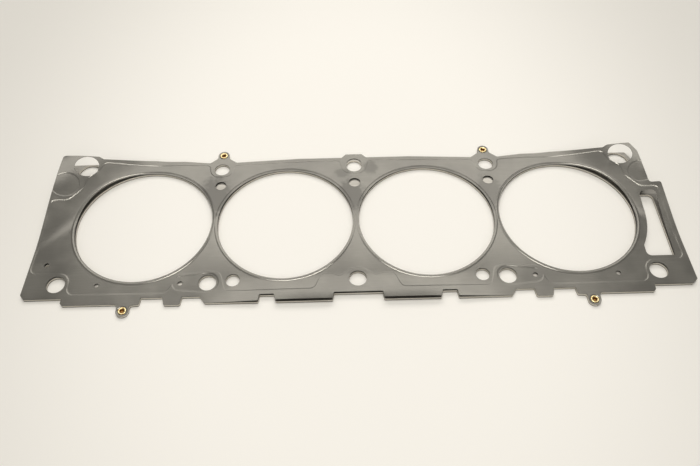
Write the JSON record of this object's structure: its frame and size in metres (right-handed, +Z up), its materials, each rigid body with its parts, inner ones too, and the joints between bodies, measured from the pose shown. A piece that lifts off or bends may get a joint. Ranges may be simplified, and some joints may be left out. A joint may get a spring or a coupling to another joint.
{
  "type": "cylinder head gasket",
  "caption": "Layered steel head gasket for a bank of cylinders: large round bores, bolt and coolant holes, pressed sealing beads and riveted lugs.",
  "frame": {"origin": "on the block face, in the middle of the row of bores", "axes": "+X along the row of bores towards the end with the transfer slot, +Y towards the edge without tabs, +Z up towards the cylinder head"},
  "size_m": [0.5277, 0.1685, 0.0153],
  "materials": {
    "coated_steel": "satin grey coating on spring steel",
    "stainless": "bright rolled stainless steel",
    "eyelet_brass": "plain rolled brass, slightly dull"
  },
  "bodies": {
    "root": {"upper_sheet": "coated_steel", "core": "stainless", "lower_sheet": "coated_steel", "eyelet_far_left": "eyelet_brass", "eyelet_far_right": "eyelet_brass", "eyelet_near_left": "eyelet_brass", "eyelet_near_right": "eyelet_brass"}
  },
  "joints": []
}
